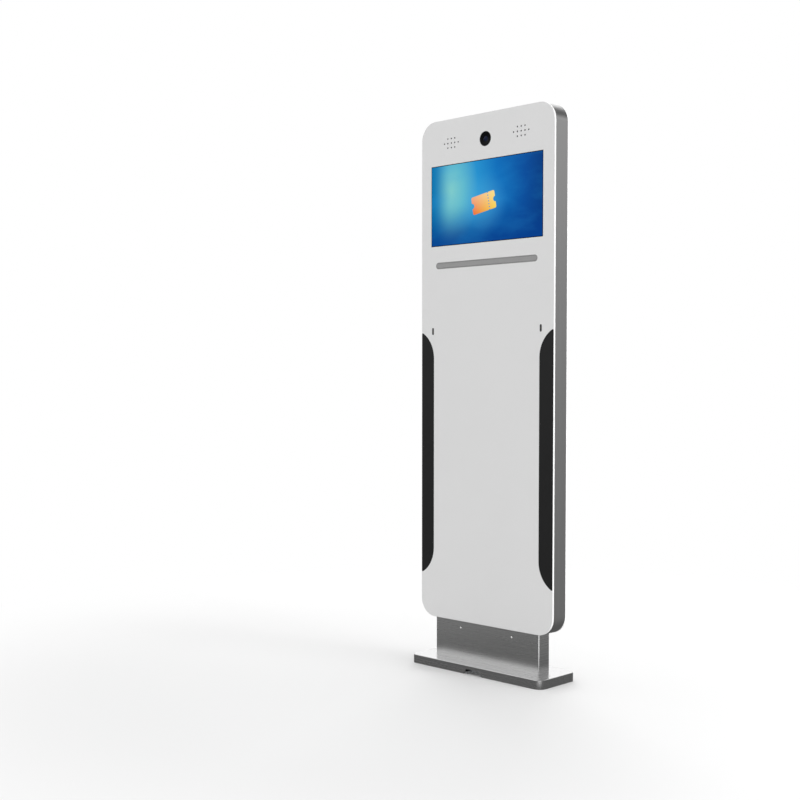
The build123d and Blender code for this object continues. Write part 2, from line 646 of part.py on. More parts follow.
def knuckles(spans, leaf_y0, leaf_y1):
    """One hinge leaf: its knuckles over the spans, tied to a flat leaf."""
    leaf_from = HINGE_X + HINGE_R + KNUCKLE_GAP
    parts = []
    for z in HINGE_Z:
        leaf = block(leaf_from, HINGE_X + HINGE_LEAF_W, leaf_y0, leaf_y1, z - HINGE_L / 2, z + HINGE_L / 2)
        for low, high in spans:
            leaf += rod("Z", HINGE_R, z + low, z + high, HINGE_X, HINGE_Y)
            leaf += block(HINGE_X, leaf_from + 0.1, leaf_y0, leaf_y1, z + low, z + high)
        for step in (-HINGE_L / 3, HINGE_L / 3):
            leaf -= rod("Y", 1.6, FRONT, 0, HINGE_X + HINGE_LEAF_W - 5, z + step)
        parts.append(leaf)
    return parts


HINGE_QUARTER = HINGE_L / 4


def hinge_door_leaves():
    span = [(-HINGE_QUARTER + KNUCKLE_GAP, HINGE_QUARTER - KNUCKLE_GAP)]
    leaves = knuckles(span, SKIN_IN, SKIN_IN + HINGE_LEAF_T)
    return group([leaf - rod("Z", HINGE_PIN_R + RUNNING, 0, BODY_TOP, HINGE_X, HINGE_Y) for leaf in leaves])


def hinge_frame_leaves():
    spans = [(-HINGE_L / 2, -HINGE_QUARTER), (HINGE_QUARTER, HINGE_L / 2)]
    leaves = knuckles(spans, HINGE_Y + HINGE_R - HINGE_LEAF_BITE, FRAME_FRONT)
    return group([leaf - rod("Z", HINGE_PIN_R, 0, BODY_TOP, HINGE_X, HINGE_Y) for leaf in leaves])


def hinge_pins():
    half = HINGE_L / 2
    return group([rod("Z", HINGE_PIN_R, z - half, z + half, HINGE_X, HINGE_Y) for z in HINGE_Z])


def screen_glass():
    return slab(Rectangle(SCREEN_W, SCREEN_H), FRONT, FRONT + SCREEN_GLASS_T, 0, SCREEN_Z)


DISPLAY = dict(w=SCREEN_W + 20, h=SCREEN_H + 24, t=10.6)  # the bezel stands behind the door's skin
RAIL_IN = 16.0
RAIL_OVER = 14.0
RAIL_T = 3.0


def display_module():
    front = FRONT + SCREEN_GLASS_T
    back = front + DISPLAY["t"]
    case = slab(RectangleRounded(DISPLAY["w"], DISPLAY["h"], 2), front, back, 0, SCREEN_Z)
    step = slab(RectangleRounded(DISPLAY["w"] - 60, DISPLAY["h"] - 60, 3), back, back + 2, 0, SCREEN_Z)
    places = [(x, SCREEN_Z + dz) for x in (-DISPLAY["w"] / 4.5, DISPLAY["w"] / 4.5) for dz in (-80, 80)]
    ribs = [slab(SlotOverall(DISPLAY["w"] / 3, 8), back + 1, back + 3, x, z) for x, z in places]
    case += step
    for rib in ribs:
        case -= rib
    return case


def display_rails():
    """Two straps that clamp the display against the tray's skin, on spacers beyond its top and bottom."""
    back = FRONT + SCREEN_GLASS_T + DISPLAY["t"]
    half = DISPLAY["h"] / 2 + RAIL_OVER
    x = DISPLAY["w"] / 2 - RAIL_IN
    strap = block(x - 9, x + 9, back, back + RAIL_T, SCREEN_Z - half, SCREEN_Z + half)
    for end in (-1, 1):
        near = SCREEN_Z + end * (half - RAIL_OVER + 2)
        strap += block(x - 9, x + 9, SKIN_IN, back, near, SCREEN_Z + end * half)
        screw_z = SCREEN_Z + end * (half - RAIL_OVER / 2)
        strap += slab(RegularPolygon(4, 6), back + RAIL_T, back + 2 * RAIL_T, x, screw_z)
    return both(strap)


def display_board():
    y = FRONT + SCREEN_GLASS_T + DISPLAY["t"] + 6
    board = block(-70, 70, y, y + 1.6, SCREEN_Z - 45, SCREEN_Z + 45)
    chips = ((-30, 12, 28, 28, 3), (30, -10, 20, 34, 6), (0, 34, 90, 9, 7), (48, 20, 14, 14, 9))
    for x, dz, w, h, t in chips:
        z = SCREEN_Z + dz
        board += block(x - w / 2, x + w / 2, y + 1.6, y + 1.6 + t, z - h / 2, z + h / 2)
    for x in (-64, 64):
        for z in (-39, 39):
            board += rod("Y", 2.5, y - 4, y, x, SCREEN_Z + z)
    return board


def camera_window():
    disc = rod("Y", CAMERA_WINDOW_R, FRONT, SKIN_IN, 0, CAMERA_Z)
    disc = fillet(disc.edges().sort_by(Axis.Y)[0], 0.6)
    disc += rod("Y", CAMERA_WINDOW_R + WINDOW_FLANGE, SKIN_IN, SKIN_IN + BACKING_T, 0, CAMERA_Z)
    return disc


def camera_module():
    y = SKIN_IN + 1.9
    lens = rod("Y", 9, y, y + 6, 0, CAMERA_Z) + rod("Y", 11, y + 6, y + 12, 0, CAMERA_Z)
    lens -= rod("Y", 6.5, y - 1, y + 2.5, 0, CAMERA_Z)
    board = block(-19, 19, y + 12, y + 13.6, CAMERA_Z - 19, CAMERA_Z + 19)
    plug = block(-7, 7, y + 13.6, y + 18, CAMERA_Z - 17, CAMERA_Z - 10)
    return lens + board + plug


def camera_bracket():
    """Z-shaped strap behind the camera board, screwed to the tray at both ends."""
    y = SKIN_IN + 1.9 + 13.6
    strap = block(-40, 40, y, y + 1.5, CAMERA_Z + 3, CAMERA_Z + 15)
    for side in (-1, 1):
        strap += block(side * 40, side * 38.5, SKIN_IN, y + 1.5, CAMERA_Z + 3, CAMERA_Z + 15)
        strap += block(side * 40, side * 52, SKIN_IN, SKIN_IN + 1.5, CAMERA_Z + 3, CAMERA_Z + 15)
    return strap


def speaker():
    """The right-hand 40 x 70 mm oval speaker, behind a dust screen."""
    y = SKIN_IN + 0.4
    rim = slab(SlotOverall(72, 42), y, y + 2, SPEAKER_X, SPEAKER_Z)
    basket = slab(SlotOverall(60, 32), y + 2, y + 9, SPEAKER_X, SPEAKER_Z)
    basket = fillet(front_edges(basket, y + 9), 4)
    magnet = rod("Y", 14, y + 9, y + 17, SPEAKER_X, SPEAKER_Z)
    return rim + basket + magnet


def speaker_screens():
    return both(slab(SlotOverall(70, 40), SKIN_IN, SKIN_IN + 0.4, SPEAKER_X, SPEAKER_Z))


# ---------------------------------------------------------------- locks
LOCK_BACK = FLANGE_BACK + CAM_GAP  # front face of the cam
KEY_BORE_R = KEY_SLOT_W / 2 - 1.0  # the plug narrows to pass the key plate


def key_plates():
    """Black plates that fill the two key slots, each bored for its lock's plug."""
    face = SlotOverall(KEY_SLOT_H - 2 * FIT, KEY_SLOT_W - 2 * FIT, rotation=90)
    plate = slab(face, FRONT, SKIN_IN, KEY_X, KEY_Z)
    flange = RectangleRounded(KEY_SLOT_W + 12, KEY_SLOT_H + 8, 4)
    plate += slab(flange, SKIN_IN, SKIN_IN + BACKING_T, KEY_X, KEY_Z)
    return both(plate - rod("Y", KEY_BORE_R, FRONT - 1, 0, KEY_X, KEY_Z))


def lock_housings():
    y = SKIN_IN + BACKING_T
    housing = rod("Y", LOCK_BODY_R, y, LOCK_BACK - CAM_GAP, KEY_X, KEY_Z)
    housing += slab(RegularPolygon(LOCK_BODY_R + 3, 6), y, y + CAM_T, KEY_X, KEY_Z)
    return both(housing - rod("Y", LOCK_R + RUNNING, FRONT - 1, 0, KEY_X, KEY_Z))


def lock_plug():
    shoulder = SKIN_IN + BACKING_T + CAM_GAP
    plug = rod("Y", KEY_BORE_R - RUNNING, FRONT + LOCK_SINK, shoulder, KEY_X, KEY_Z)
    plug += rod("Y", LOCK_R, shoulder, LOCK_BACK, KEY_X, KEY_Z)
    plug += rod("Y", LOCK_SPINDLE_R, LOCK_BACK, LOCK_BACK + CAM_T, KEY_X, KEY_Z)
    wide, high = KEYWAY[0] / 2, KEYWAY[1] / 2
    return plug - block(KEY_X - wide, KEY_X + wide, FRONT, FRONT + KEYWAY_DEPTH, KEY_Z - high, KEY_Z + high)


def lock_cam():
    """Cam that hangs straight down while unlocked, with its nut."""
    y0, y1 = LOCK_BACK, LOCK_BACK + CAM_T
    length = CAM_REACH + CAM_W / 2
    cam = slab(SlotOverall(length, CAM_W, rotation=90), y0, y1, KEY_X, KEY_Z - length / 2 + CAM_W / 2)
    cam -= rod("Y", LOCK_SPINDLE_R + RUNNING, y0 - 1, y1 + 1, KEY_X, KEY_Z)
    return cam + slab(RegularPolygon(5.5, 6), y1, y1 + 3, KEY_X, KEY_Z)


# ---------------------------------------------------------------- ticket outlet
FLAP_W = OUTLET_W - 2 * (OUTLET_RING + FLAP_GAP)
FLAP_H = OUTLET_H - 2 * (OUTLET_RING + FLAP_GAP)
FLAP_AXIS_Z = OUTLET_Z + FLAP_H / 2 - FLAP_AXIS_DOWN
FLAP_AXIS_Y = FRONT + FLAP_T / 2


def flap_pin_ends():
    """Where the flap's pins start and end, measured from the middle."""
    rise = FLAP_AXIS_Z - OUTLET_Z
    radius = FLAP_H / 2
    start = FLAP_W / 2 - radius + sqrt(radius**2 - rise**2)
    ring = radius + FLAP_GAP
    return start - 2, OUTLET_W / 2 - OUTLET_H / 2 + sqrt(ring**2 - rise**2) + 1.6


def outlet_ring():
    """Grey surround of the outlet. It has a flange behind the skin and a bore at each end for the flap."""
    inner = SlotOverall(OUTLET_W - 2 * OUTLET_RING, OUTLET_H - 2 * OUTLET_RING)
    ring = slab(SlotOverall(OUTLET_W, OUTLET_H) - inner, FRONT, SKIN_IN, 0, OUTLET_Z)
    outer = SlotOverall(OUTLET_W + 2 * OUTLET_FLANGE, OUTLET_H + 2 * OUTLET_FLANGE)
    ring += slab(outer - inner, SKIN_IN, SKIN_IN + 2, 0, OUTLET_Z)
    reach = flap_pin_ends()[1] + 0.2
    return ring - rod("X", FLAP_PIN_R + RUNNING, -reach, reach, FLAP_AXIS_Y, FLAP_AXIS_Z)


def outlet_flap():
    flap = slab(SlotOverall(FLAP_W, FLAP_H), FRONT, FRONT + FLAP_T, 0, OUTLET_Z)
    flap = fillet(front_edges(flap, FRONT), 0.8)
    start, end = flap_pin_ends()
    for side in (-1, 1):
        flap += rod("X", FLAP_PIN_R, side * start, side * end, FLAP_AXIS_Y, FLAP_AXIS_Z)
    return flap


def ticket_chute():
    """Curved guide that turns the ticket from the cutter to the outlet."""
    wide = CHEEK_X
    low, top = CUTTER_Z + 8, OUTLET_Z + 5
    back, front = PLATEN_Y + 7, FRONT + FLAP_T + 2.2
    guide = block(-wide, wide, front, back, low, top)
    reach = back - front - 3
    channel = block(-wide + 3, wide - 3, front - reach, front + reach, top - 15.5, top - 2.5)
    throat = block(-wide + 3, wide - 3, PLATEN_Y - 4, back - 3, low - 1, top - 2.5)
    outer_corner = guide.edges().filter_by(Axis.X).sort_by(lambda e: e.center().Y + e.center().Z)[-1]
    return fillet(outer_corner, 8) - channel - throat


# ---------------------------------------------------------------- ticket printer
def gear(teeth, width, bore, phase):
    """A spur gear about X with straight-sided teeth. One tooth points along phase, in the Y-Z plane."""
    pitch = GEAR_MODULE * teeth / 2
    tip, root = pitch + 0.8 * GEAR_MODULE, pitch - 1.05 * GEAR_MODULE
    step = 2 * pi / teeth
    points = []
    for k in range(teeth):
        middle = radians(phase) + k * step
        for radius, share in ((root, -0.31), (tip, -0.1), (tip, 0.1), (root, 0.31)):
            angle = middle + share * step
            points.append((radius * cos(angle), radius * sin(angle)))
    face = make_face(Polyline(*points, close=True))
    plane = Plane((0, 0, 0), x_dir=(0, 1, 0), z_dir=(1, 0, 0))
    return extrude(plane * face, amount=width) - rod("X", bore, -1, width + 1, 0, 0)


GEAR_CENTRES = GEAR_MODULE * (GEAR_TEETH + PINION_TEETH) / 2 + GEAR_GAP
PINION_Y = PLATEN_Y + GEAR_CENTRES * cos(radians(PINION_ANGLE))
PINION_Z = PLATEN_Z + GEAR_CENTRES * sin(radians(PINION_ANGLE))
GEAR_X = CHEEK_X + CHEEK_T + 1.0


def platen_gear():
    return Pos(GEAR_X, PLATEN_Y, PLATEN_Z) * gear(GEAR_TEETH, GEAR_W, PLATEN_SHAFT_R, PINION_ANGLE)


def motor_pinion():
    phase = PINION_ANGLE + 180 + 180 / PINION_TEETH
    return Pos(GEAR_X, PINION_Y, PINION_Z) * gear(PINION_TEETH, GEAR_W, MOTOR_SHAFT_R, phase)


def pinion_shaft():
    return rod("X", MOTOR_SHAFT_R, CHEEK_X - 4, GEAR_X + GEAR_W + 1, PINION_Y, PINION_Z)


def stepper_motor():
    can = rod("X", MOTOR_R, CHEEK_X - MOTOR_L, CHEEK_X, PINION_Y, PINION_Z)
    can = fillet(can.edges().sort_by(Axis.X)[0], 1.5)
    return can - rod("X", MOTOR_SHAFT_R + RUNNING, CHEEK_X - 5, CHEEK_X + 1, PINION_Y, PINION_Z)


def printer_cradle():
    """Folded steel cradle: two cheeks, a back and the flanges that screw to the door."""
    front, back = SKIN_IN, CRADLE_BACK
    cheek = block(CHEEK_X, CHEEK_X + CHEEK_T, front, back, CRADLE_BOTTOM, CRADLE_TOP)
    cheek = fillet(cheek.edges().filter_by(Axis.X).sort_by(Axis.Y)[-2:], 6)
    flange_end = CHEEK_X + CRADLE_FLANGE
    flange = block(CHEEK_X, flange_end, front, front + CHEEK_T, CRADLE_BOTTOM, CRADLE_BOTTOM + 60)
    cheek += flange
    cradle = cheek + mirrored(cheek)
    cradle += block(-CHEEK_X, CHEEK_X, back - CHEEK_T, back, CRADLE_BOTTOM + 8, CRADLE_TOP - 8)
    cradle -= block(-CHEEK_X + 8, CHEEK_X - 8, back - 5, back + 1, CRADLE_BOTTOM + 20, CRADLE_BOTTOM + 52)
    cradle -= rod("X", PLATEN_SHAFT_R + RUNNING, -PAPER_W, PAPER_W, PLATEN_Y, PLATEN_Z)
    cradle -= rod("X", SPINDLE_R / 2, -PAPER_W, PAPER_W, ROLL_Y, ROLL_Z)
    cradle -= rod("X", MOTOR_SHAFT_R + 1, 0, PAPER_W, PINION_Y, PINION_Z)
    return cradle - rod("X", LEVER_PIN_R + RUNNING, -PAPER_W, 0, LEVER_Y, LEVER_Z)


def roll_spindle():
    inside = CHEEK_X - 0.1
    bar = rod("X", SPINDLE_R, -inside, inside, ROLL_Y, ROLL_Z)
    return bar + rod("X", SPINDLE_R / 2, -inside - CHEEK_T - 2, inside + CHEEK_T + 2, ROLL_Y, ROLL_Z)


def sleeve(radius, bore, half, y, z):
    """A tube along X."""
    return rod("X", radius, -half, half, y, z) - rod("X", bore, -PAPER_W, PAPER_W, y, z)


def roll_core():
    return sleeve(CORE_R, SPINDLE_R + RUNNING, PAPER_W / 2, ROLL_Y, ROLL_Z)


def paper_roll():
    return sleeve(ROLL_R, CORE_R, PAPER_W / 2 - 0.25, ROLL_Y, ROLL_Z)


def platen_roller():
    return sleeve(PLATEN_R, PLATEN_SHAFT_R, PAPER_W / 2, PLATEN_Y, PLATEN_Z)


def platen_shaft():
    return rod("X", PLATEN_SHAFT_R, -CHEEK_X - CHEEK_T - 2, GEAR_X + GEAR_W + 1, PLATEN_Y, PLATEN_Z)


def print_head():
    """Thermal head against the platen's front, on a finned heat sink held between the cheeks."""
    face = PLATEN_Y - PLATEN_R - HEAD_GAP
    base, fins = face - HEAD_T, face - HEAD_T - SINK_BASE_T
    half = PAPER_W / 2
    head = block(-half, half, base, face, PLATEN_Z - 8, PLATEN_Z + 8)
    head += block(-CHEEK_X, CHEEK_X, fins, base, PLATEN_Z - 12, PLATEN_Z + 12)
    for k in range(SINK_FINS):
        z = PLATEN_Z - 10.5 + k * 4.8
        head += block(-half, half, fins - SINK_FIN_L, fins, z, z + 1.8)
    return head


LEVER_PIN_R = 2.0
LEVER_Y = PLATEN_Y - PLATEN_R - HEAD_GAP - HEAD_T - SINK_BASE_T / 2
LEVER_Z = PLATEN_Z + LEVER_UP


def head_lever():
    """Release lever outside the left cheek, pointing backwards."""
    x = -CHEEK_X - CHEEK_T - 1
    tip = LEVER_Y + LEVER_L
    arm = block(x - 3, x, LEVER_Y - 3.5, tip, LEVER_Z - 3.5, LEVER_Z + 3.5)
    arm = fillet(arm.edges().filter_by(Axis.X), 3)
    arm += block(x - 9, x, tip - 9, tip, LEVER_Z - 3.4, LEVER_Z + 3.4)
    return arm + rod("X", LEVER_PIN_R, x, -CHEEK_X - 0.5, LEVER_Y, LEVER_Z)


def cutter_guide():
    half = CHEEK_X
    y0, y1 = PLATEN_Y + 3, CRADLE_BACK - CHEEK_T
    bed = block(-half, half, y0, y1, CUTTER_Z - 5, CUTTER_Z - 0.2)
    for side in (-1, 1):
        bed += block(side * half, side * (half - 4), y0, y1, CUTTER_Z - 0.2, CUTTER_Z + CUTTER_T + 3)
    return bed


def cutter_blade():
    """Guillotine blade, drawn back behind the ticket's path."""
    half = CHEEK_X - 4.4
    blade = block(-half, half, PLATEN_Y + 3.5, CRADLE_BACK - 5, CUTTER_Z, CUTTER_Z + CUTTER_T)
    edge = blade.edges().filter_by(Axis.X).group_by(Axis.Y)[0].sort_by(Axis.Z)[-1]
    return chamfer(edge, 0.7)


# ---------------------------------------------------------------- the nodes
def build_stand():
    return {
        "floor_plate": floor_plate(),
        "plinth_cover": plinth_cover(),
        "neck_shell": neck_shell(),
        "neck_front_cover": neck_front_cover(),
        "neck_screws": neck_screws(),
        "support_columns": support_columns(),
        "mounting_bridge": mounting_bridge(),
        "bridge_bolts": bridge_bolts(),
    }


def build_cabinet():
    return {
        **frame_lengths(),
        "cable_grommet": cable_grommet(),
        "back_tray": back_tray(),
        "back_tray_nuts": back_tray_nuts(),
        "equipment_plate": equipment_plate(),
        "power_supply": power_supply(),
        "controller_box": controller_box(),
        "power_entry": power_entry(),
        "power_rocker": power_rocker(),
        "fan_frames": fan_frames(),
        "fan_rotor_left": fan_rotor(-1),
        "fan_rotor_right": fan_rotor(1),
        "hinge_frame_leaves": hinge_frame_leaves(),
        "hinge_pins": hinge_pins(),
    }


def build_door():
    plug, cam = lock_plug(), lock_cam()
    return {
        "front_tray": front_tray(),
        "hinge_door_leaves": hinge_door_leaves(),
        "side_trims": both(side_trim()),
        "screen_glass": screen_glass(),
        "display_module": display_module(),
        "display_rails": display_rails(),
        "display_board": display_board(),
        "camera_window": camera_window(),
        "camera_module": camera_module(),
        "camera_bracket": camera_bracket(),
        "speakers": both(speaker()),
        "speaker_screens": speaker_screens(),
        "key_plates": key_plates(),
        "lock_housings": lock_housings(),
        "lock_plug_right": plug,
        "lock_plug_left": mirrored(plug),
        "lock_cam_right": cam,
        "lock_cam_left": mirrored(cam),
        "outlet_ring": outlet_ring(),
        "outlet_flap": outlet_flap(),
    }


def build_printer():
    return {
        "ticket_chute": ticket_chute(),
        "printer_cradle": printer_cradle(),
        "print_head": print_head(),
        "head_release_lever": head_lever(),
        "platen_roller": platen_roller(),
        "platen_shaft": platen_shaft(),
        "platen_gear": platen_gear(),
        "stepper_motor": stepper_motor(),
        "motor_shaft": pinion_shaft(),
        "motor_pinion": motor_pinion(),
        "paper_roll": paper_roll(),
        "roll_core": roll_core(),
        "roll_spindle": roll_spindle(),
        "cutter_guide": cutter_guide(),
        "cutter_blade": cutter_blade(),
    }


os.makedirs("parts", exist_ok=True)
nodes = {**build_stand(), **build_cabinet(), **build_door(), **build_printer()}
for name, shape in nodes.items():
    export_step(shape, f"parts/{name}.step")
print(len(nodes), "nodes")
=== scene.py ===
"""The look of a floor-standing ticket vending machine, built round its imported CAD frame.

Units are metres. +X is the customer's right, -Y is out of the front, +Z is up.
"""

import json
from math import cos, pi, radians, sin

import bpy
from mathutils import Matrix, Vector


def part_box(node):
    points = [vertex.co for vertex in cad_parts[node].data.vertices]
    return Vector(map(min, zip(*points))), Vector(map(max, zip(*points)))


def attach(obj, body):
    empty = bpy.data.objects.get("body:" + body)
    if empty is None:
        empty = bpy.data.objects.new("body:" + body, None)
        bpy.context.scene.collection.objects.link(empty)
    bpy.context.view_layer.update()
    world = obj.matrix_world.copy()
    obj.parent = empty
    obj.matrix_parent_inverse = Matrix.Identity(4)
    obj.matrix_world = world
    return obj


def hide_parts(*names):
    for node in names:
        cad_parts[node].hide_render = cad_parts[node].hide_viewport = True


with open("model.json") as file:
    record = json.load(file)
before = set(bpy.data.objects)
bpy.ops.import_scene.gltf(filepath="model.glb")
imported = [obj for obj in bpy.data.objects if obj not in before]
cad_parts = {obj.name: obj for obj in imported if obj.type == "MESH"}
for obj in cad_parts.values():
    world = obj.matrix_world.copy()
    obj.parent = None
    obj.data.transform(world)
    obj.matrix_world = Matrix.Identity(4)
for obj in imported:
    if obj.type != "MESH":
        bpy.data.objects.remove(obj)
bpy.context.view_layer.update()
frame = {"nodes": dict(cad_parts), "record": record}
NODES = frame["nodes"]

# ---------------------------------------------------------------- places read from the frame
SCREEN_LOW, SCREEN_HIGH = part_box("screen_glass")
SCREEN_W = SCREEN_HIGH[0] - SCREEN_LOW[0]
SCREEN_H = SCREEN_HIGH[2] - SCREEN_LOW[2]
SCREEN_Z = (SCREEN_LOW[2] + SCREEN_HIGH[2]) / 2
CAMERA_LOW, CAMERA_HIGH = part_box("camera_window")
CAMERA_Z = (CAMERA_LOW[2] + CAMERA_HIGH[2]) / 2
FRONT_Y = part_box("front_tray")[0][1]
BOARD_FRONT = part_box("display_board")[0][1]


# ---------------------------------------------------------------- node helpers
class Shader:
    """A material with one Principled shader, and short ways to add nodes to it."""

    def __init__(self, name, **uniform):
        self.material = bpy.data.materials.new(name)
        self.material.use_nodes = True
        self.tree = self.material.node_tree
        self.bsdf = self.tree.nodes["Principled BSDF"]
        for socket, value in uniform.items():
            self.bsdf.inputs[socket.replace("_", " ")].default_value = value
        self.texture = self.node("ShaderNodeTexCoord").outputs["Object"]
        self.x, self.y, self.z = self.split(self.texture)

    def node(self, kind, **settings):
        made = self.tree.nodes.new(kind)
        for key, value in settings.items():
            setattr(made, key, value)
        return made

    def feed(self, socket, value):
        """Links a node's output, or sets a plain value."""
        if isinstance(value, bpy.types.NodeSocket):
            self.tree.links.new(value, socket)
        else:
            socket.default_value = value

    def split(self, vector):
        parts = self.node("ShaderNodeSeparateXYZ")
        self.feed(parts.inputs[0], vector)
        return parts.outputs[0], parts.outputs[1], parts.outputs[2]

    def join(self, x, y, z=0.0):
        made = self.node("ShaderNodeCombineXYZ")
        for socket, value in zip(made.inputs, (x, y, z)):
            self.feed(socket, value)
        return made.outputs[0]

    def math(self, operation, a, b=0.0, c=0.0):
        made = self.node("ShaderNodeMath", operation=operation)
        for socket, value in zip(made.inputs, (a, b, c)):
            self.feed(socket, value)
        return made.outputs[0]

    def ranged(self, value, low, high, to_low=0.0, to_high=1.0, smooth=False):
        made = self.node("ShaderNodeMapRange", interpolation_type="SMOOTHSTEP" if smooth else "LINEAR")
        for socket, given in zip(made.inputs, (value, low, high, to_low, to_high)):
            self.feed(socket, given)
        return made.outputs[0]

    def noise(self, scale, detail=2.0, roughness=0.5, stretch=(1, 1, 1)):
        mapped = self.node("ShaderNodeVectorMath", operation="MULTIPLY")
        self.feed(mapped.inputs[0], self.texture)
        mapped.inputs[1].default_value = stretch
        made = self.node("ShaderNodeTexNoise")
        self.feed(made.inputs["Vector"], mapped.outputs[0])
        made.inputs["Scale"].default_value = scale
        made.inputs["Detail"].default_value = detail
        made.inputs["Roughness"].default_value = roughness
        return made.outputs["Fac"]

    def ramp(self, value, stops):
        made = self.node("ShaderNodeValToRGB")
        self.feed(made.inputs[0], value)
        elements = made.color_ramp.elements
        while len(elements) < len(stops):
            elements.new(0.5)
        for element, (place, colour) in zip(elements, stops):
            element.position = place
            element.color = (*colour, 1.0)
        return made.outputs[0]

    def mix(self, share, a, b, blend="MIX"):
        made = self.node("ShaderNodeMix", data_type="RGBA", blend_type=blend)
        self.feed(made.inputs["Factor"], share)
        for socket, value in ((made.inputs["A"], a), (made.inputs["B"], b)):
            self.feed(socket, (*value, 1.0) if isinstance(value, tuple) else value)
        return made.outputs["Result"]

    def colour(self, value):
        self.feed(self.bsdf.inputs["Base Color"], value)

    def roughness(self, value):
        self.feed(self.bsdf.inputs["Roughness"], value)

    def bump(self, height, distance):
        made = self.node("ShaderNodeBump")
        made.inputs["Strength"].default_value = 1.0
        made.inputs["Distance"].default_value = distance
        self.feed(made.inputs["Height"], height)
        self.feed(self.bsdf.inputs["Normal"], made.outputs[0])


def linear(r, g, b):
    """A colour written as 0 to 255 values, turned to linear light."""
    return tuple(c / 255 / 12.92 if c <= 10 else ((c / 255 + 0.055) / 1.055) ** 2.4 for c in (r, g, b))


def varied(shader, colour, amount, share):
    """A colour that drifts darker and lighter by amount."""
    dark = tuple(c * (1 - amount) for c in colour)
    light = tuple(min(1.0, c * (1 + amount)) for c in colour)
    return shader.mix(share, dark, light)


# ---------------------------------------------------------------- materials
def powder_coat(name, colour, rough, peel=0.00003):
    """Powder coat: a fine orange peel over very slight clouding."""
    shader = Shader(name)
    cloud = shader.noise(3.5, 3)
    shader.colour(varied(shader, colour, 0.012, cloud))
    shader.roughness(shader.ranged(shader.noise(140, 2), 0.3, 0.7, rough - 0.04, rough + 0.05))
    shader.bump(shader.noise(520, 2, 0.45), peel)
    return shader.material


def brushed(name, colour, stretch, rough):
    """Brushed metal. Grain runs along the axes whose stretch is small."""
    shader = Shader(name, Metallic=1.0)
    fine = shader.noise(1.0, 4, 0.7, tuple(s * 2600 for s in stretch))
    coarse = shader.noise(1.0, 3, 0.6, tuple(s * 620 for s in stretch))
    grain = shader.math("MULTIPLY_ADD", fine, 0.6, shader.math("MULTIPLY", coarse, 0.4))
    shader.colour(varied(shader, colour, 0.06, shader.ranged(grain, 0.3, 0.7)))
    shader.roughness(shader.ranged(grain, 0.3, 0.7, rough - 0.06, rough + 0.08))
    shader.bump(grain, 0.00002)
    return shader.material


def zinc(name, colour):
    """Zinc plate with a soft spangle."""
    shader = Shader(name, Metallic=1.0)
    cells = shader.node("ShaderNodeTexVoronoi")
    cells.inputs["Scale"].default_value = 260
    shader.feed(cells.inputs["Vector"], shader.texture)
    spangle = shader.split(cells.outputs["Color"])[0]
    shader.colour(varied(shader, colour, 0.10, spangle))
    shader.roughness(shader.ranged(spangle, 0, 1, 0.30, 0.44))
    shader.bump(shader.noise(900, 3), 0.000015)
    return shader.material


def plastic(name, colour, rough, grain=900, depth=0.00002, coat=0.0, specular=0.5):
    """Moulded plastic with a fine texture."""
    shader = Shader(name, Coat_Weight=coat, Coat_Roughness=0.08, Specular_IOR_Level=specular)
    texture = shader.noise(grain, 3, 0.55)
    shader.colour(varied(shader, colour, 0.06, shader.noise(40, 3)))
    shader.roughness(shader.ranged(texture, 0.3, 0.7, rough - 0.05, rough + 0.07))
    shader.bump(texture, depth)
    return shader.material


def paper_roll(name, roll):
    """Thermal paper: its ends show the edges of the turns."""
    low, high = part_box(roll)
    centre_y, centre_z = (low[1] + high[1]) / 2, (low[2] + high[2]) / 2
    shader = Shader(name, Roughness=0.7)
    dy = shader.math("SUBTRACT", shader.y, centre_y)
    dz = shader.math("SUBTRACT", shader.z, centre_z)
    radius = shader.math("SQRT", shader.math("MULTIPLY_ADD", dy, dy, shader.math("MULTIPLY", dz, dz)))
    turns = shader.math("SINE", shader.math("MULTIPLY", radius, 2 * pi / 0.0006))
    shade = shader.math("MULTIPLY_ADD", turns, 0.25, shader.noise(300, 3))
    shader.colour(varied(shader, (0.80, 0.80, 0.77), 0.07, shader.ranged(shade, 0.1, 0.9)))
    shader.bump(turns, 0.00004)
    return shader.material


def circuit_board(name):
    """Green board with a grid of pads and faint tracks."""
    shader = Shader(name, Roughness=0.35)
    bricks = shader.node("ShaderNodeTexBrick")
    shader.feed(bricks.inputs["Vector"], shader.join(shader.x, shader.z))
    bricks.inputs["Scale"].default_value = 90
    bricks.inputs["Mortar Size"].default_value = 0.03
    bricks.inputs["Color1"].default_value = (0.010, 0.115, 0.045, 1)
    bricks.inputs["Color2"].default_value = (0.014, 0.150, 0.060, 1)
    bricks.inputs["Mortar"].default_value = (0.20, 0.30, 0.14, 1)
    chips = shader.ranged(shader.y, BOARD_FRONT + 0.0058, BOARD_FRONT + 0.0060)
    shader.colour(shader.mix(chips, bricks.outputs["Color"], (0.02, 0.02, 0.022)))
    shader.bump(bricks.outputs["Fac"], 0.00003)
    return shader.material


def rubber(name):
    shader = Shader(name)
    shader.colour(varied(shader, (0.022, 0.022, 0.022), 0.15, shader.noise(60, 3)))
    shader.roughness(shader.ranged(shader.noise(500, 3), 0.3, 0.7, 0.62, 0.78))
    shader.bump(shader.noise(1400, 3), 0.00003)
    return shader.material


def cloth(name):
    """Speaker cloth: crossed threads about half a millimetre apart."""
    thread = 0.0006
    shader = Shader(name, Roughness=0.9)
    across = shader.math("SINE", shader.math("MULTIPLY", shader.x, 2 * pi / thread))
    up = shader.math("SINE", shader.math("MULTIPLY", shader.z, 2 * pi / thread))
    weave = shader.math("MULTIPLY", across, up)
    shader.colour(shader.mix(shader.ranged(weave, -1, 1), (0.004, 0.004, 0.005), (0.030, 0.030, 0.032)))
    shader.bump(weave, 0.0001)
    return shader.material


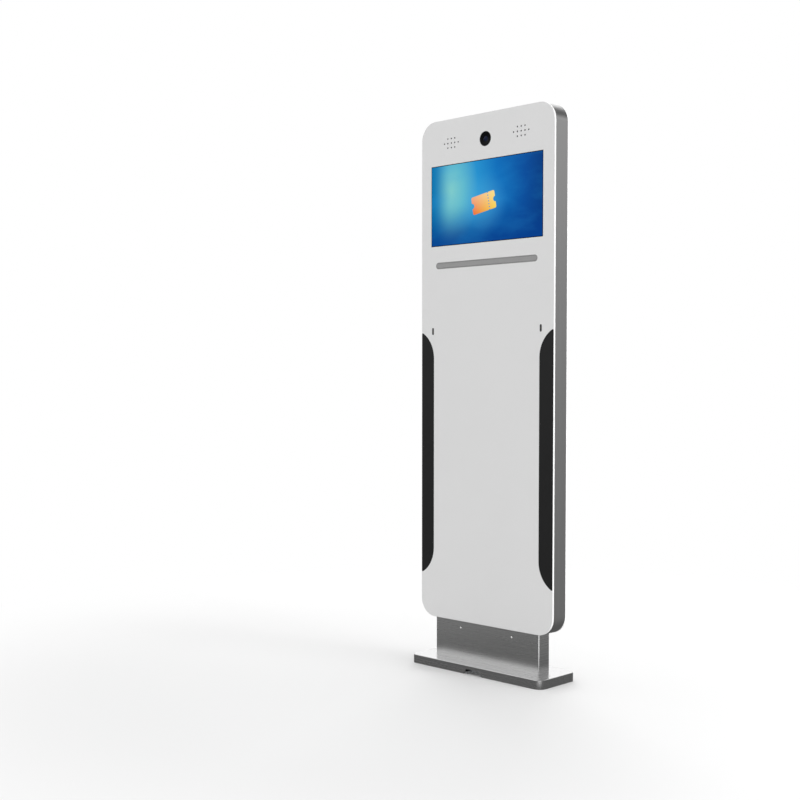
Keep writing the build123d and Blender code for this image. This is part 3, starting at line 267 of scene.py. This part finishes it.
def glow_distance(shader, x, z, squash=1.0):
    """Distance in metres on the screen from a point. The upright part is scaled by squash."""
    dx = shader.math("SUBTRACT", shader.x, x)
    dz = shader.math("MULTIPLY", shader.math("SUBTRACT", shader.z, z), squash)
    return shader.math("SQRT", shader.math("MULTIPLY_ADD", dx, dx, shader.math("MULTIPLY", dz, dz)))


def ticket_shape(shader, u, v):
    """How much of each point lies in a ticket: a rounded card with bitten ends and a row of holes."""
    half_w, half_h, corner, soft = 0.050, 0.029, 0.006, 0.0007
    bite_r, hole_r, hole_u, hole_pitch = 0.009, 0.0022, 0.021, 0.0095
    dx = shader.math("MAXIMUM", shader.math("SUBTRACT", shader.math("ABSOLUTE", u), half_w - corner), 0.0)
    dz = shader.math("MAXIMUM", shader.math("SUBTRACT", shader.math("ABSOLUTE", v), half_h - corner), 0.0)
    edge = shader.math("SQRT", shader.math("MULTIPLY_ADD", dx, dx, shader.math("MULTIPLY", dz, dz)))
    card = shader.ranged(edge, corner - soft, corner + soft, 1.0, 0.0)
    end = shader.math("SUBTRACT", shader.math("ABSOLUTE", u), half_w)
    bite = shader.math("SQRT", shader.math("MULTIPLY_ADD", end, end, shader.math("MULTIPLY", v, v)))
    card = shader.math("MULTIPLY", card, shader.ranged(bite, bite_r - soft, bite_r + soft))
    row = shader.math("SUBTRACT", u, hole_u)
    turn = shader.math("FRACT", shader.math("MULTIPLY_ADD", v, 1 / hole_pitch, 0.5))
    dot_z = shader.math("MULTIPLY", shader.math("SUBTRACT", turn, 0.5), hole_pitch)
    dot = shader.math("SQRT", shader.math("MULTIPLY_ADD", row, row, shader.math("MULTIPLY", dot_z, dot_z)))
    return shader.math("MULTIPLY", card, shader.ranged(dot, hole_r - soft, hole_r + soft))


def screen_image(name):
    """The lit display under its glass: a plain blue glow and a ticket pictogram."""
    shader = Shader(name, Roughness=0.12, Specular_IOR_Level=0.04)
    glow = glow_distance(shader, -0.62 * SCREEN_W / 2, SCREEN_Z + 0.16 * SCREEN_H, 0.62)
    picture = shader.ramp(shader.ranged(glow, 0.0, 0.42), (
        (0.0, linear(128, 205, 205)), (0.13, linear(98, 188, 208)), (0.28, linear(38, 146, 208)),
        (0.48, linear(14, 112, 188)), (0.75, linear(8, 78, 156)), (1.0, linear(5, 50, 112)),
    ))
    left = shader.ranged(shader.x, -0.49 * SCREEN_W, -0.31 * SCREEN_W, 0.95, 0.0, smooth=True)
    picture = shader.mix(left, picture, linear(4, 118, 178))
    foot_low, foot_high = SCREEN_Z - SCREEN_H / 2, SCREEN_Z + 0.05 * SCREEN_H
    foot = shader.ranged(shader.z, foot_low, foot_high, 0.9, 0.0, smooth=True)
    picture = shader.mix(foot, picture, linear(3, 62, 140))
    drift = shader.noise(7, 3, 0.5, (1, 1, 2.2))
    picture = shader.mix(shader.ranged(drift, 0.45, 0.8, 0.0, 0.22), picture, linear(40, 150, 220))
    tilt = radians(10)
    ticket_x, ticket_z = -0.006, SCREEN_Z - 0.006
    u0 = shader.math("SUBTRACT", shader.x, ticket_x)
    v0 = shader.math("SUBTRACT", shader.z, ticket_z)
    u = shader.math("MULTIPLY_ADD", u0, cos(tilt), shader.math("MULTIPLY", v0, sin(tilt)))
    v = shader.math("MULTIPLY_ADD", v0, cos(tilt), shader.math("MULTIPLY", u0, -sin(tilt)))
    halo = glow_distance(shader, ticket_x, ticket_z)
    halo = shader.ranged(halo, 0.03, 0.11, 0.22, 0.0, smooth=True)
    picture = shader.mix(halo, picture, linear(90, 190, 235))
    card = shader.mix(shader.ranged(u, -0.05, 0.05), linear(236, 106, 44), linear(250, 214, 84))
    card = shader.mix(shader.ranged(v, -0.03, 0.03, 0.0, 0.35), card, linear(255, 244, 214))
    picture = shader.mix(ticket_shape(shader, u, v), picture, card)
    border, soft = 0.0024, 0.0004
    side = shader.math("SUBTRACT", SCREEN_W / 2, shader.math("ABSOLUTE", shader.x))
    rise = shader.math("SUBTRACT", shader.z, SCREEN_Z)
    end = shader.math("SUBTRACT", SCREEN_H / 2, shader.math("ABSOLUTE", rise))
    lit = shader.ranged(shader.math("MINIMUM", side, end), border - soft, border + soft)
    picture = shader.mix(lit, (0.004, 0.005, 0.008), picture)
    shader.colour(shader.mix(1.0, picture, (0.06, 0.06, 0.06), "MULTIPLY"))
    shader.feed(shader.bsdf.inputs["Emission Color"], picture)
    shader.bsdf.inputs["Emission Strength"].default_value = 0.92
    return shader.material


def lens_black(name, colour, rough):
    shader = Shader(name, Specular_IOR_Level=0.04)
    shader.colour(varied(shader, colour, 0.2, shader.noise(60, 2)))
    shader.roughness(shader.ranged(shader.noise(400, 2), 0.3, 0.7, rough, rough + 0.06))
    return shader.material


def capped_brass(name, face_y):
    """Brass behind a blackened face."""
    shader = Shader(name)
    black_depth = 0.0013
    behind = shader.ranged(shader.y, face_y + black_depth - 0.0001, face_y + black_depth + 0.0001)
    grain = shader.noise(900, 3)
    brass = varied(shader, (0.72, 0.52, 0.24), 0.08, grain)
    shader.colour(shader.mix(behind, (0.012, 0.012, 0.012), brass))
    shader.feed(shader.bsdf.inputs["Metallic"], behind)
    shader.roughness(shader.ranged(grain, 0.3, 0.7, 0.28, 0.42))
    return shader.material


WHITE = powder_coat("white_powder_coat", (0.71, 0.71, 0.71), 0.42)
DARK_COAT = powder_coat("dark_powder_coat", (0.055, 0.058, 0.062), 0.5, 0.00008)
BLACK_COAT = powder_coat("black_powder_coat", (0.012, 0.012, 0.013), 0.45, 0.00008)
BAND_STEEL = brushed("band_steel", (0.43, 0.43, 0.43), (0.002, 1.0, 0.002), 0.34)
NECK_STEEL = brushed("neck_steel", (0.52, 0.52, 0.52), (0.002, 0.002, 1.0), 0.27)
PLINTH_STEEL = brushed("plinth_steel", (0.50, 0.50, 0.50), (0.002, 1.0, 1.0), 0.24)
SCREW_STEEL = brushed("screw_steel", (0.72, 0.72, 0.71), (1.0, 1.0, 1.0), 0.22)
ZINC = zinc("zinc_plate", (0.56, 0.57, 0.58))
ALUMINIUM = brushed("aluminium", (0.66, 0.67, 0.68), (1.0, 0.004, 0.004), 0.36)
PLUG = capped_brass("lock_plug_brass", FRONT_Y)
BRASS = brushed("brass", (0.72, 0.52, 0.24), (1.0, 1.0, 1.0), 0.25)
TRIM = plastic("black_acrylic", (0.0105, 0.0105, 0.0107), 0.36, grain=1100, depth=0.00001, specular=0.22)
OUTLET = plastic("outlet_grey", (0.285, 0.285, 0.285), 0.40)
BLACK_PLASTIC = plastic("black_plastic", (0.018, 0.018, 0.019), 0.45)
RED_PLASTIC = plastic("red_plastic", (0.42, 0.018, 0.012), 0.28, grain=700, coat=0.4)
GEAR_PLASTIC = plastic("gear_plastic", (0.70, 0.68, 0.60), 0.38)
RUBBER = rubber("rubber")

FINISHES = {
    "front_tray": WHITE,
    "back_tray": WHITE,
    "support_columns": DARK_COAT,
    "mounting_bridge": DARK_COAT,
    "controller_box": BLACK_COAT,
    "frame_left": BAND_STEEL,
    "frame_right": BAND_STEEL,
    "frame_top": BAND_STEEL,
    "frame_bottom": BAND_STEEL,
    "neck_shell": NECK_STEEL,
    "neck_front_cover": NECK_STEEL,
    "plinth_cover": PLINTH_STEEL,
    "neck_screws": SCREW_STEEL,
    "power_supply": ALUMINIUM,
    "print_head": ALUMINIUM,
    "cutter_guide": ALUMINIUM,
    "lock_plug_left": PLUG,
    "lock_plug_right": PLUG,
    "lock_housings": BRASS,
    "motor_pinion": BRASS,
    "side_trims": TRIM,
    "outlet_ring": OUTLET,
    "outlet_flap": OUTLET,
    "cable_grommet": RUBBER,
    "platen_roller": RUBBER,
    "platen_gear": GEAR_PLASTIC,
    "power_rocker": RED_PLASTIC,
    "head_release_lever": RED_PLASTIC,
    "speaker_screens": cloth("speaker_cloth"),
    "paper_roll": paper_roll("thermal_paper", "paper_roll"),
    "display_board": circuit_board("circuit_board"),
    "screen_glass": screen_image("screen_image"),
    "display_module": plastic("display_back", (0.10, 0.10, 0.105), 0.4),
}
SLOT_FINISHES = {"black_plastic": BLACK_PLASTIC, "zinc_steel": ZINC, "camera_glass": BLACK_PLASTIC}
slot_of = {part["node"]: part["material_slot"] for part in frame["record"]["subparts"]}
for node_name, node in NODES.items():
    finish = FINISHES.get(node_name) or SLOT_FINISHES[slot_of[node_name]]
    node.data.materials.clear()
    node.data.materials.append(finish)


# ---------------------------------------------------------------- added pieces
def turned(name, profile, centre, steps=96):
    """A ring turned about a Y axis. The profile is (radius, y) pairs that close on themselves."""
    verts, faces = [], []
    for radius, y in profile:
        for k in range(steps):
            angle = 2 * pi * k / steps
            verts.append((centre[0] + radius * cos(angle), y, centre[2] + radius * sin(angle)))
    rows = len(profile)
    for row in range(rows):
        here, there = row * steps, (row + 1) % rows * steps
        for k in range(steps):
            following = (k + 1) % steps
            faces.append((here + k, here + following, there + following, there + k))
    mesh = bpy.data.meshes.new(name)
    mesh.from_pydata(verts, [], faces)
    mesh.update()
    made = bpy.data.objects.new(name, mesh)
    bpy.context.scene.collection.objects.link(made)
    return made


def finish_piece(piece, material, body):
    piece.data.materials.append(material)
    with bpy.context.temp_override(object=piece, active_object=piece, selected_editable_objects=[piece]):
        bpy.ops.object.shade_smooth_by_angle(angle=radians(32))
    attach(piece, body)


MM = 0.001
FLANGE = 3 * MM  # of the window, behind the door's skin
WINDOW_R = (CAMERA_HIGH[0] - CAMERA_LOW[0]) / 2 - FLANGE
SKIN = 2 * MM
WINDOW_DEPTH = CAMERA_HIGH[1] - CAMERA_LOW[1]
DISC_R = WINDOW_R - 3.4 * MM
EYE_R = 9 * MM
eye = (0, 0, CAMERA_Z)
window = turned("camera_rim", [
    (DISC_R, FRONT_Y + 0.9 * MM), (DISC_R + 0.3 * MM, FRONT_Y + 0.2 * MM), (DISC_R + 0.9 * MM, FRONT_Y),
    (WINDOW_R - 0.6 * MM, FRONT_Y), (WINDOW_R, FRONT_Y + 0.5 * MM), (WINDOW_R, FRONT_Y + SKIN),
    (WINDOW_R + FLANGE, FRONT_Y + SKIN), (WINDOW_R + FLANGE, FRONT_Y + WINDOW_DEPTH),
    (DISC_R, FRONT_Y + WINDOW_DEPTH)], eye)
finish_piece(window, lens_black("camera_rim_black", (0.010, 0.010, 0.011), 0.25), "door")
disc = turned("camera_disc", [
    (EYE_R, FRONT_Y + 1.8 * MM), (EYE_R + 2 * MM, FRONT_Y + 1.0 * MM),
    (DISC_R - 0.1 * MM, FRONT_Y + 0.9 * MM),
    (DISC_R - 0.1 * MM, FRONT_Y + 2.2 * MM), (EYE_R, FRONT_Y + 2.2 * MM)], eye)
finish_piece(disc, lens_black("camera_disc_black", (0.003, 0.003, 0.004), 0.14), "door")
bulge = [((EYE_R - 0.2 * MM) * sin(a), FRONT_Y + (2.6 - 1.9 * cos(a)) * MM)
         for a in (radians(t) for t in (4, 20, 35, 50, 65, 80, 90))]
bulge += [(EYE_R - 0.2 * MM, FRONT_Y + 2.9 * MM), (bulge[0][0], FRONT_Y + 2.9 * MM)]
lens = turned("camera_lens", bulge, eye)
finish_piece(lens, lens_black("camera_lens_glass", (0.010, 0.014, 0.035), 0.05), "door")
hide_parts("camera_window")


# ---------------------------------------------------------------- studio
def emitter(name, place, target, size, power):
    """A soft light that neither the camera nor a reflection sees."""
    light = bpy.data.lights.new(name, "AREA")
    light.shape = "RECTANGLE"
    light.size, light.size_y = size
    light.energy = power
    made = bpy.data.objects.new(name, light)
    made.location = place
    made.rotation_euler = (Vector(target) - Vector(place)).to_track_quat("-Z", "Y").to_euler()
    made.visible_camera = False
    made.visible_glossy = False
    bpy.context.scene.collection.objects.link(made)
    return made


def studio_floor():
    """A pale floor that reaches past the horizon. It fades to white away from the machine. What metal
    reflects of it is a painted reflection, darker near the machine, with a painted highlight before the
    plinth's nearest corner."""
    reach = 60.0
    mesh = bpy.data.meshes.new("floor")
    mesh.from_pydata([(-reach, -reach, 0), (reach, -reach, 0), (reach, reach, 0), (-reach, reach, 0)], [],
                     [(0, 1, 2, 3)])
    floor = bpy.data.objects.new("floor", mesh)
    bpy.context.scene.collection.objects.link(floor)
    shader = Shader("floor_white", Roughness=0.85)
    path = shader.node("ShaderNodeLightPath")
    near = shader.math("SQRT", shader.math("MULTIPLY_ADD", shader.x, shader.x,
                                           shader.math("MULTIPLY", shader.y, shader.y)))
    lift = shader.ranged(near, 1.1, 2.3, 0.0, 1.0, smooth=True)
    shader.colour((0.70, 0.70, 0.70, 1))
    shader.bsdf.inputs["Specular IOR Level"].default_value = 0.1
    # painted reflection: the level that metal sees of the floor, made lower close to the machine as
    # painted shade
    painted_reflection_base = shader.ranged(shader.math("LOGARITHM", near, 10.0), -0.1, 1.8, 0.27, 0.36)
    close = shader.ranged(near, 0.35, 0.75, 0.64, 1.0, smooth=True)
    # painted highlight: a bright patch that metal sees in front of the plinth's right front corner
    painted_highlight_across = shader.ranged(shader.x, 0.25, 0.40, smooth=True)
    before = shader.ranged(shader.y, -0.08, -0.22, smooth=True)
    painted_reflection_level = shader.math("MULTIPLY_ADD", shader.math("MULTIPLY", painted_highlight_across, before), 1.3,
                           shader.math("MULTIPLY", painted_reflection_base, close))
    level = shader.mix(path.outputs["Is Glossy Ray"], (1, 1, 1), shader.join(painted_reflection_level, painted_reflection_level, painted_reflection_level))
    glow = shader.node("ShaderNodeEmission")
    shader.feed(glow.inputs["Color"], level)
    share = shader.math("MAXIMUM", shader.math("MULTIPLY", lift, path.outputs["Is Camera Ray"]),
                        path.outputs["Is Glossy Ray"])
    blend = shader.node("ShaderNodeMixShader")
    shader.feed(blend.inputs[0], share)
    shader.feed(blend.inputs[1], shader.bsdf.outputs[0])
    shader.feed(blend.inputs[2], glow.outputs[0])
    output = shader.tree.nodes["Material Output"]
    shader.feed(output.inputs["Surface"], blend.outputs[0])
    mesh.materials.append(shader.material)


def studio_world():
    """White to look at. In metal it is darker on the right, bright on the left and towards the viewer."""
    world = bpy.data.worlds.new("studio")
    bpy.context.scene.world = world
    world.use_nodes = True
    tree = world.node_tree
    tree.nodes.clear()

    def add(kind, **settings):
        made = tree.nodes.new(kind)
        for key, value in settings.items():
            setattr(made, key, value)
        return made

    def math(operation, a, b=0.0, c=0.0):
        made = add("ShaderNodeMath", operation=operation)
        for socket, value in zip(made.inputs, (a, b, c)):
            if isinstance(value, bpy.types.NodeSocket):
                tree.links.new(value, socket)
            else:
                socket.default_value = value
        return made.outputs[0]

    def eased(value, low, high):
        made = add("ShaderNodeMapRange", interpolation_type="SMOOTHSTEP")
        tree.links.new(value, made.inputs[0])
        made.inputs[1].default_value, made.inputs[2].default_value = low, high
        return made.outputs[0]

    def by_height(stops):
        made = add("ShaderNodeValToRGB")
        tree.links.new(height, made.inputs[0])
        elements = made.color_ramp.elements
        while len(elements) < len(stops):
            elements.new(0.5)
        for element, (place, level) in zip(elements, stops):
            element.position, element.color = (place + 1) / 2, (level / 2, level / 2, level / 2, 1)
        return made.outputs[0]

    split = add("ShaderNodeSeparateXYZ")
    tree.links.new(add("ShaderNodeTexCoord").outputs["Generated"], split.inputs[0])
    x, y, z = split.outputs
    height = math("MULTIPLY_ADD", z, 0.5, 0.5)
    right = by_height(((-1.0, 0.25), (0.0, 0.37), (0.06, 0.44), (0.12, 0.56), (0.20, 0.70), (0.235, 1.1),
                       (0.33, 0.8), (0.48, 0.12), (0.75, 0.2), (1.0, 0.6)))
    left = by_height(((-1.0, 0.3), (0.0, 0.38), (0.17, 0.42), (0.215, 1.95), (0.4, 2.0), (1.0, 1.2)))
    towards = math("SUBTRACT", x, y)
    mixed = add("ShaderNodeMix", data_type="RGBA")
    tree.links.new(eased(x, 0.15, -0.35), mixed.inputs["Factor"])
    tree.links.new(right, mixed.inputs["A"])
    tree.links.new(left, mixed.inputs["B"])
    doubled = math("MULTIPLY", mixed.outputs["Result"], 2.0)
    seen = math("MULTIPLY_ADD", eased(towards, *VIEWER_LOBE), 1.2, doubled)
    path = add("ShaderNodeLightPath")
    pick = add("ShaderNodeMix")
    tree.links.new(path.outputs["Is Glossy Ray"], pick.inputs["Factor"])
    pick.inputs["A"].default_value = 1.0
    tree.links.new(seen, pick.inputs["B"])
    background = add("ShaderNodeBackground")
    background.inputs["Color"].default_value = (1, 1, 1, 1)
    tree.links.new(pick.outputs["Result"], background.inputs["Strength"])
    output = add("ShaderNodeOutputWorld")
    tree.links.new(background.outputs[0], output.inputs["Surface"])


VIEWER_LOBE = (1.28, 1.40)  # x - y of a direction, which is at most 1.41, straight towards the viewer
studio_floor()
studio_world()
emitter("side_light", (5.0, 0.6, 1.8), (0, 0, 1.0), (2.4, 3.0), 190)
emitter("back_light", (-4.2, 4.4, 1.7), (0, 0, 0.05), (4.0, 1.6), 300)

# ---------------------------------------------------------------- camera
camera_data = bpy.data.cameras.new("camera")
camera_data.sensor_width = 36.0
camera_data.lens = 56.273
camera_data.shift_y = 0.03283
camera_data.clip_end = 200
camera = bpy.data.objects.new("camera", camera_data)
bpy.context.scene.collection.objects.link(camera)
yaw, pitch = -0.77979, -0.04057
forward = Vector((sin(yaw) * cos(pitch), cos(yaw) * cos(pitch), sin(pitch)))
camera.matrix_world = (Matrix.Translation((2.6760, -3.1349, 0.9786))
                       @ forward.to_track_quat("-Z", "Y").to_matrix().to_4x4())
bpy.context.scene.camera = camera
bpy.context.scene.view_settings.view_transform = "Standard"
